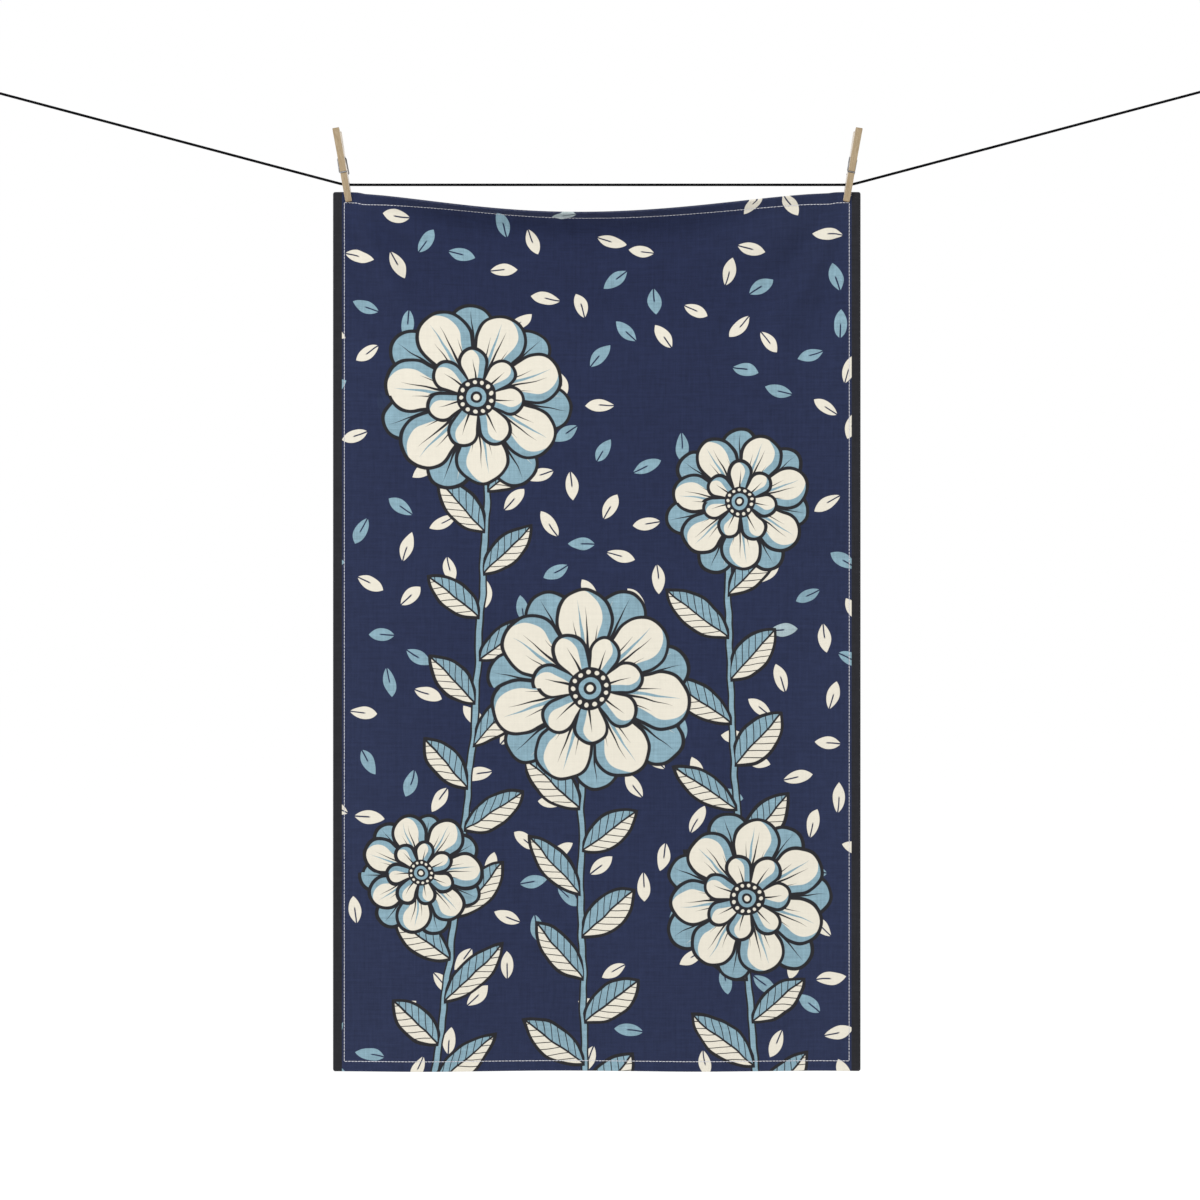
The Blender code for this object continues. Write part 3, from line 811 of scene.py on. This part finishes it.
def cord_material():
    """Make black braided cord with fine fibres along its strands."""
    material, tree, shader = new_material("black_cord")
    u, v = flat_place(tree)
    strand = ((v * 3.0 - u * 0.5) * (2.0 * math.pi)).sin() * 0.5 + 0.5
    fibre = soft_noise(tree, joined(u * 1.5, v * 24.0 - u * 4.0, 1.0), 1.0, 2.0, 0.6)
    dust = streaks(tree, u, v, 0.05, 2.0, 3.0, 2.0)
    colour = blend_colours(tree, *CORD_TONES, strand * 0.5 + fibre * 0.5)
    colour = blend_colours(tree, colour, CORD_DUST, dust.over(0.62, 0.2) * 0.3)
    give_finish(tree, shader, colour, fibre * 0.25 + 0.55, specular=0.0)
    bump_from(tree, shader, strand * 0.7 + fibre * 0.3, 0.00012, 0.8)
    return material


# Cord and thread geometry


def smooth_curve(route, steps):
    """Read points from a smooth curve through the route."""
    padded = [2.0 * route[0] - route[1]] + route + [2.0 * route[-1] - route[-2]]
    points = []
    for before, start, end, after in zip(padded, padded[1:], padded[2:], padded[3:]):
        span = (end - start).length
        leave = (end - before) / (end - before).length * span
        arrive = (after - start) / (after - start).length * span
        for step in range(steps):
            t = step / steps
            points.append((2 * t ** 3 - 3 * t ** 2 + 1) * start + (t ** 3 - 2 * t ** 2 + t) * leave
                          + (3 * t ** 2 - 2 * t ** 3) * end + (t ** 3 - t ** 2) * arrive)
    points.append(route[-1])
    return points


def spaced(points, step):
    """Read points at an even distance along a line of points."""
    lengths = [0.0]
    for a, b in zip(points, points[1:]):
        lengths.append(lengths[-1] + (b - a).length)
    count = max(round(lengths[-1] / step), 2)
    found = []
    at = 0
    for i in range(count + 1):
        wanted = lengths[-1] * i / count
        while at < len(points) - 2 and lengths[at + 1] < wanted:
            at += 1
        share = (wanted - lengths[at]) / max(lengths[at + 1] - lengths[at], 1e-12)
        found.append(points[at].lerp(points[at + 1], share))
    return found


def tube_faces(first, rings, sides):
    """List the faces of a closed tube whose vertices run ring by ring from the given one."""
    faces = []
    for i in range(rings - 1):
        for k in range(sides):
            a, b = first + i * sides + k, first + i * sides + (k + 1) % sides
            faces.append((a, b, b + sides, a + sides))
    faces.append(tuple(first + k for k in reversed(range(sides))))
    faces.append(tuple(first + (rings - 1) * sides + k for k in range(sides)))
    return faces


def twisted_cord(points, radius, groove, step, first=0):
    """Sweep a three-strand cord along the points; returns its vertices, faces and flat coordinates."""
    path = spaced(points, step)
    verts, uvs = [], []
    tangents = [(b - a).normalized() for a, b in zip(path, path[1:])]
    tangents = [tangents[0]] + [(a + b).normalized() for a, b in zip(tangents, tangents[1:])] + [tangents[-1]]
    up = Vector((0.0, 1.0, 0.0))
    if abs(up.dot(tangents[0])) > 0.9:
        up = Vector((1.0, 0.0, 0.0))
    up = (up - tangents[0] * up.dot(tangents[0])).normalized()
    run = 0.0
    for i, (point, tangent) in enumerate(zip(path, tangents)):
        up = (up - tangent * up.dot(tangent)).normalized()
        side = tangent.cross(up)
        run += (point - path[i - 1]).length if i else 0.0
        for k in range(CORD_SIDES):
            angle = 2.0 * math.pi * k / CORD_SIDES
            strand = abs(math.cos(1.5 * (angle - 2.0 * math.pi * run / CORD_TWIST)))
            reach = radius * (1.0 - groove * (1.0 - strand))
            verts.append(point + (up * math.cos(angle) + side * math.sin(angle)) * reach)
            uvs.append((run * 1000.0, k / CORD_SIDES))
    return verts, tube_faces(first, len(path), CORD_SIDES), uvs


def line_height(x):
    """Return the height of the line's axis, with its bends softly rounded."""
    past = abs(x - PEG_SHIFT) - LINE_BEND_X
    softened = 0.5 * (past + math.sqrt(past * past + BEND_ROUNDING ** 2))
    return softened * math.tan(math.radians(LINE_RISE_DEG))


def line_route():
    """Return the route's own points, from the left end to the right end."""
    right = LINE_ROUTE_X + (LINE_END_X,)
    left = tuple(-x for x in reversed(right[1:]))
    return [Vector((x, 0.0, line_height(x))) for x in left + right]


def knot_place(side):
    """Return where a knot sits: its X axis runs outwards along the line."""
    rise = math.radians(LINE_RISE_DEG)
    outward = Vector((side * math.cos(rise), 0.0, math.sin(rise)))
    upward = Vector((-side * math.sin(rise), 0.0, math.cos(rise)))
    turn = Matrix((outward, upward.cross(outward), upward)).transposed()
    end = Vector((side * LINE_END_X, 0.0, line_height(side * LINE_END_X)))
    return Matrix.Translation(end + outward * KNOT_GAP) @ turn.to_4x4()


def knot_routes():
    """Return the cord's routes in a knot: its wraps, its eye, its cut end and its core."""
    wraps = []
    steps = KNOT_WRAPS * WRAP_STEPS
    half_turn = WRAP_STEPS // 2
    for i in range(-half_turn, steps + half_turn + 1):
        share = min(max(i / steps, 0.0), 1.0)
        buried = max(-i, i - steps, 0) / half_turn
        angle = 2.0 * math.pi * i / WRAP_STEPS
        reach = (KNOT_RADIUS - LINE_RADIUS) * (1.0 - WRAP_TAPER * (1.0 - math.sin(math.pi * share)))
        reach *= 1.0 - 0.8 * buried
        along = LINE_RADIUS + (KNOT_LENGTH - 2.0 * LINE_RADIUS) * share
        wraps.append(Vector((along, reach * math.cos(angle), reach * math.sin(angle))))
    eye = []
    for i in range(EYE_STEPS + 1):
        turn = 2.0 * math.pi * i / EYE_STEPS
        along = EYE_START + EYE_LENGTH * (1.0 - math.cos(turn)) / 2.0
        sideways = EYE_HALF_WIDTH * math.sin(turn) * abs(math.sin(turn / 2.0)) ** EYE_NARROWING
        sideways += EYE_STRAND_OFFSET * math.cos(turn / 2.0)
        eye.append(Vector((along, 0.0, sideways)))
    tail = [Vector((along, TAIL_OFFSET, height)) for along, height in TAIL_ROUTE]
    core = [Vector((0.0002, 0.0, 0.0)), Vector((EYE_START, 0.0, 0.0))]
    return wraps, eye, smooth_curve(tail, 4), core


def build_knot(name, side, material):
    """Make one end of the line as wound cord, with its eye and its cut end."""
    place = knot_place(side)
    verts, faces, uvs = [], [], []
    for route in knot_routes():
        points = [place @ point for point in route]
        more = twisted_cord(points, LINE_RADIUS * 0.98, 0.08, 0.0006, len(verts))
        for whole, piece in zip((verts, faces, uvs), more):
            whole.extend(piece)
    knot = add_mesh(name, verts, faces, material)
    set_uv(knot.data, uvs)
    return knot


def build_line(material):
    """Make the line as one long twisted cord that reaches into its two knots."""
    route = smooth_curve(line_route(), 12)
    outward = (route[0] - route[1]).normalized() * LINE_INTO_KNOT
    points = [route[0] + outward] + route + [route[-1] + Vector((-outward.x, 0.0, outward.z))]
    verts, faces, uvs = twisted_cord(points, LINE_RADIUS, 0.06, 0.0010)
    line = add_mesh("line_cord", verts, faces, material)
    set_uv(line.data, uvs)
    return line, points


# Cloth


def smooth_step(low, high, value):
    """Rise from 0 at low to 1 at high without a corner."""
    t = min(max((value - low) / (high - low), 0.0), 1.0)
    return t * t * (3.0 - 2.0 * t)


def bump(offset, half_width):
    """Return a bell of height 1, nearly gone at twice its half width."""
    return math.exp(-((offset / half_width) ** 2))


def grip_release(x, below=0.0):
    """Return 0 where a peg holds the cloth flat, and 1 well away from it."""
    return smooth_step(GRIP_FLAT, GRIP_BLEND, math.hypot(PEG_X - abs(x), below))


def slung_share(x, arc):
    """Return 1 at the arc's middle, falling to 0 at the pegs and outside them."""
    middle, left_power, right_power = arc
    rightward = x > middle
    reach = PEG_X - middle if rightward else PEG_X + middle
    t = min(abs(x - middle) / reach, 1.0)
    return (1.0 - t * t) ** (right_power if rightward else left_power)


def hem_lean(x):
    """Return the forward lean of the top hem in radians."""
    release = smooth_step(GRIP_FLAT, LEAN_START, PEG_X - abs(x))
    return math.radians(HEM_LEAN_DEG) * slung_share(x, LEAN_ARC) * release


def edge_sag(x):
    """Return how far the top edge hangs below the towel's corners."""
    return EDGE_SAG * slung_share(x, SAG_ARC) + LEAN_DROP * math.sin(hem_lean(x))


def span_share(x):
    """Return 1 at mid-span, falling to 0 at the pegs and outside them."""
    return max(1.0 - (x / PEG_X) ** 2, 0.0)


def fold_relief(x, down, drop):
    """Sum the listed folds: slung, fanned and upright."""
    share = span_share(x)
    total = BELLY_DEPTH * share * math.exp(-down / BELLY_FADE)
    for fall, depth, half_width in SWAGS:
        total += depth * share * bump(drop - TOP_CORNER_DROP - fall * share, half_width)
    below = drop - TOP_CORNER_DROP
    for side, lean_deg, length, half_width, depth in RAYS:
        lean = math.radians(lean_deg)
        inward = PEG_X - side * x
        along = (inward * math.sin(lean) + below * math.cos(lean)) / length
        across = inward * math.cos(lean) - below * math.sin(lean)
        if 0.0 < along < 1.0:
            rise = smooth_step(0.04, 0.35, along) * (1.0 - smooth_step(0.45, 1.0, along))
            total += depth * rise * bump(across, half_width * (0.6 + 1.2 * along))
    for place, half_width, depth, start in WAVES:
        total += depth * smooth_step(start, TOWEL_HEIGHT, down) * bump(x - place, half_width)
    return total


def hang(x, down):
    """Place the point of the flat cloth that lies `down` below its top edge."""
    lean = hem_lean(x)
    sag = edge_sag(x)
    if down <= HEM_WIDTH:
        drop = sag + down * math.cos(lean)
        forward = math.sin(lean) * (HEM_WIDTH - down + LEAN_FADE)
    else:
        past = down - HEM_WIDTH
        slack = sag - HEM_WIDTH * (1.0 - math.cos(lean))
        drop = down + slack * math.exp(-past / SLACK_FADE)
        forward = math.sin(lean) * LEAN_FADE * math.exp(-past / LEAN_FADE)
    drop += TOP_CORNER_DROP
    forward += fold_relief(x, down, drop) * grip_release(x, max(drop + JAW_TIP, 0.0))
    return Vector((x, -HEM_THICKNESS / 2.0 - forward, -drop))


def margins(x, down):
    """Return the distances to the nearest side and to the nearest end."""
    return TOWEL_WIDTH / 2.0 - abs(x), min(down, TOWEL_HEIGHT - down)


def small_relief(x, down):
    """Return soft creases of wear and the pucker beside the seams, towards the front."""
    side, end = margins(x, down)
    margin = min(side, end)
    crease = noise.noise(Vector((x * 22.0, down * 9.0, 1.7))) * 0.6
    crease += noise.noise(Vector((x * 55.0, down * 34.0, 5.1))) * 0.4
    total = CREASE_DEPTH * crease * smooth_step(0.004, 0.030, margin)
    run = down if side < end else x
    uneven = noise.noise(Vector((x * 30.0, down * 30.0, 0.0)))
    pucker = math.sin(run * 2.0 * math.pi / PUCKER_PITCH + 3.0 * uneven)
    pucker *= 0.6 + 0.8 * noise.noise(Vector((x * 12.0, down * 12.0, 9.0)))
    total += PUCKER_DEPTH * pucker * bump(margin - TOP_SEAM_INSET, PUCKER_HALF_WIDTH)
    return total * grip_release(x, max(down - 0.012, 0.0))


def cloth_point(x, down):
    """Return the middle of the front face with its small relief."""
    return hang(x, down) - Vector((0.0, small_relief(x, down), 0.0))


def cloth_normal(x, down):
    """Return the direction from the front face towards the back."""
    step = 0.0008
    left, right = max(x - step, -TOWEL_WIDTH / 2.0), min(x + step, TOWEL_WIDTH / 2.0)
    above, below = max(down - step, 0.0), min(down + step, TOWEL_HEIGHT)
    across = hang(right, down) - hang(left, down)
    along = hang(x, below) - hang(x, above)
    return across.cross(along).normalized()


def seam_groove(x, down):
    """Return how far the stitches pull each face in."""
    side, end = margins(x, down)
    end_inset = TOP_SEAM_INSET if down < TOWEL_HEIGHT / 2.0 else BOTTOM_SEAM_INSET
    depth = 0.0
    if end > end_inset - 0.0004:
        depth = bump(side - SIDE_SEAM_INSET, SEAM_GROOVE_WIDTH)
    if side > SIDE_SEAM_INSET - 0.0004:
        depth = max(depth, bump(end - end_inset, SEAM_GROOVE_WIDTH))
    return SEAM_GROOVE * depth


def thickness(x, down):
    """Return the cloth's thickness: one layer, or the turned hem."""
    margin = min(margins(x, down))
    single = smooth_step(HEM_WIDTH, HEM_WIDTH + HEM_STEP, margin)
    return HEM_THICKNESS + (FIELD_THICKNESS - HEM_THICKNESS) * single


def faces_at(x, down):
    """Return the front and back points of the cloth, with its hem's edges rounded off."""
    side, end = margins(x, down)
    full = thickness(x, down)
    groove = seam_groove(x, down)
    rounded = max(1.0 - min(side, end) / (HEM_THICKNESS / 2.0), 0.0)
    pull = HEM_THICKNESS / 2.0 * (1.0 - math.sqrt(max(1.0 - rounded * rounded, 0.0)))
    flat_x, flat_down = x, down
    u, v = CORNER_RADIUS - side, CORNER_RADIUS - end
    if u > 0.0 and v > 0.0:
        shrink = max(u, v) / math.hypot(u, v)
        flat_x = math.copysign(TOWEL_WIDTH / 2.0 - CORNER_RADIUS + u * shrink, x)
        inset = CORNER_RADIUS - v * shrink
        flat_down = inset if down < TOWEL_HEIGHT / 2.0 else TOWEL_HEIGHT - inset
    middle = cloth_point(flat_x, flat_down)
    inward = cloth_normal(flat_x, flat_down)
    return middle + inward * (pull + groove), middle + inward * (full - pull - groove)


def grid_lines(length, step_at):
    """List grid lines over a length: fine over the hems, then steps of the size wanted at each share."""
    inner = length - 2.0 * HEM_GRID[-1]
    total = 0.0
    steps = []
    while total < inner:
        steps.append(step_at(total / inner))
        total += steps[-1]
    lines = list(HEM_GRID)
    for step in steps[:-1]:
        lines.append(lines[-1] + step * inner / total)
    return lines + [length - distance for distance in reversed(HEM_GRID)]


def build_cloth(front_material, back_material):
    """Make the towel as a closed thin sheet with its turned hems."""
    columns = [across - TOWEL_WIDTH / 2.0 for across in grid_lines(TOWEL_WIDTH, lambda share: COLUMN_STEP)]
    rows = grid_lines(TOWEL_HEIGHT, lambda share: ROW_STEP_TOP + ROW_STEP_GROWTH * min(share * 2.5, 1.0))
    wide, tall = len(columns), len(rows)
    front, back, uvs = [], [], []
    for down in rows:
        for x in columns:
            near, far = faces_at(x, down)
            front.append(near)
            back.append(far)
            uvs.append((x / TOWEL_WIDTH + 0.5, 1.0 - down / TOWEL_HEIGHT))
    count = wide * tall
    faces, kinds = [], []
    for j in range(tall - 1):
        for i in range(wide - 1):
            a = j * wide + i
            quad = (a, a + wide, a + wide + 1, a + 1)
            faces.append(quad)
            kinds.append(0)
            faces.append(tuple(count + k for k in reversed(quad)))
            kinds.append(1)
    top = list(range(wide))
    right = [j * wide + wide - 1 for j in range(1, tall)]
    bottom = [(tall - 1) * wide + i for i in range(wide - 2, -1, -1)]
    left = [j * wide for j in range(tall - 2, 0, -1)]
    rim = top + right + bottom + left
    for a, b in zip(rim, rim[1:] + rim[:1]):
        faces.append((b, a, count + a, count + b))
        kinds.append(0)
    cloth = add_mesh("towel_cloth", front + back, faces, front_material)
    cloth.data.materials.append(back_material)
    cloth.data.polygons.foreach_set("material_index", kinds)
    set_uv(cloth.data, uvs + uvs)
    return cloth


def seam_route():
    """Return the seam's points on the flat cloth, clockwise from the top left corner."""
    left, right = -TOWEL_WIDTH / 2.0 + SIDE_SEAM_INSET, TOWEL_WIDTH / 2.0 - SIDE_SEAM_INSET
    top, bottom = TOP_SEAM_INSET, TOWEL_HEIGHT - BOTTOM_SEAM_INSET
    corners = ((left, top), (right, top), (right, bottom), (left, bottom), (left, top))
    route = []
    for (ax, ay), (bx, by) in zip(corners, corners[1:]):
        count = round(math.hypot(bx - ax, by - ay) / STITCH_PITCH)
        for i in range(count):
            share, after = i / count, (i + 1) / count
            route.append(((ax + (bx - ax) * share, ay + (by - ay) * share),
                          (ax + (bx - ax) * after, ay + (by - ay) * after)))
    return route


def stitch_path(start, end, facing):
    """Return a stitch's points with their outward directions, on the front (0) or on the back (1)."""
    rest = STITCH_GAP / math.hypot(end[0] - start[0], end[1] - start[1]) / 2.0
    path = []
    for i in range(STITCH_RINGS):
        share = i / (STITCH_RINGS - 1)
        at = rest + (1.0 - 2.0 * rest) * share
        x = start[0] + (end[0] - start[0]) * at
        down = start[1] + (end[1] - start[1]) * at
        outward = cloth_normal(x, down) * (1.0 if facing else -1.0)
        arch = THREAD_RADIUS * (math.sin(math.pi * share) ** 0.7 - THREAD_SUNK)
        path.append((faces_at(x, down)[facing] + outward * arch, outward))
    return path


def build_stitches(material):
    """Make the topstitching as single arched stitches, on the front and on the back."""
    last = STITCH_RINGS - 1
    verts, faces, uvs = [], [], []
    for number, (start, end) in enumerate(seam_route()):
        for facing in (0, 1):
            path = stitch_path(start, end, facing)
            faces += tube_faces(len(verts), STITCH_RINGS, STITCH_SIDES)
            for i, (point, outward) in enumerate(path):
                ahead = path[min(i + 1, last)][0] - path[max(i - 1, 0)][0]
                sideways = ahead.cross(outward).normalized()
                size = THREAD_RADIUS * (0.70 if i in (0, last) else 1.0)
                for k in range(STITCH_SIDES):
                    angle = 2.0 * math.pi * k / STITCH_SIDES
                    reach = outward * (THREAD_FLATTENING * math.cos(angle)) + sideways * math.sin(angle)
                    verts.append(point + reach * size)
                    uvs.append((number * 1.7 + i / last, k / STITCH_SIDES))
    stitches = add_mesh("towel_stitching", verts, faces, material)
    set_uv(stitches.data, uvs)
    return stitches


def dress(node, material):
    """Give a node that stays its finish."""
    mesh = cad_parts[node].data
    mesh.materials.clear()
    mesh.materials.append(material)


# Cord first
black_cord = cord_material()
line, line_path = build_line(black_cord)
knot_left = build_knot("line_end_left", -1, black_cord)
knot_right = build_knot("line_end_right", 1, black_cord)
for piece, node in ((line, "line"), (knot_left, "line_knot_left"), (knot_right, "line_knot_right")):
    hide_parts(node)
    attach(piece, "root")
line_length = sum((b - a).length for a, b in zip(line_path, line_path[1:]))

# Cloth and its stitching
cloth = build_cloth(cloth_material("printed_face", True), cloth_material("plain_reverse", False))
stitching = build_stitches(thread_material())
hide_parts("tea_towel")
for piece in (cloth, stitching):
    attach(piece, "root")

# Pegs
steel = steel_material()
for side_name, side in (("left", -1), ("right", 1)):
    for leg, grain_tones, seed in (("front", FRONT_GRAIN, 1.3), ("back", BACK_GRAIN_PAINTED_LIGHT, 4.6)):
        wood = wood_material(f"{side_name}_{leg}_wood", side, grain_tones, seed + side)
        dress(f"peg_{side_name}_{leg}_leg", wood)
    dress(f"peg_{side_name}_spring", steel)

# Floor, light and background
floor_material, _, floor_shader = new_material("floor")
floor_shader.inputs["Base Color"].default_value = WHITE
floor_shader.inputs["Roughness"].default_value = 0.9
floor_shader.inputs["Specular IOR Level"].default_value = 0.0
corner_signs = ((-1, -1), (1, -1), (1, 1), (-1, 1))
floor_corners = [(x * FLOOR_HALF, y * FLOOR_HALF, FLOOR_HEIGHT) for x, y in corner_signs]
floor = add_mesh("floor", floor_corners, [(0, 1, 2, 3)], floor_material, smooth=False)


def soft_light(name, place, size_m, power):
    """Add a square soft light that faces the towel."""
    lamp = bpy.data.lights.new(name, "AREA")
    lamp.size = size_m
    lamp.energy = power
    new = bpy.data.objects.new(name, lamp)
    bpy.context.scene.collection.objects.link(new)
    new.location = place
    aim = Vector(LIT_POINT) - Vector(place)
    new.rotation_euler = aim.to_track_quat("-Z", "Y").to_euler()


for light in LIGHTS:
    soft_light(*light)

world = bpy.data.worlds.new("studio")
world.use_nodes = True
background = world.node_tree.nodes["Background"]
background.inputs["Color"].default_value = WHITE
background.inputs["Strength"].default_value = 1.0
bpy.context.scene.world = world
bpy.context.scene.view_settings.view_transform = "Standard"

bpy.context.view_layer.update()
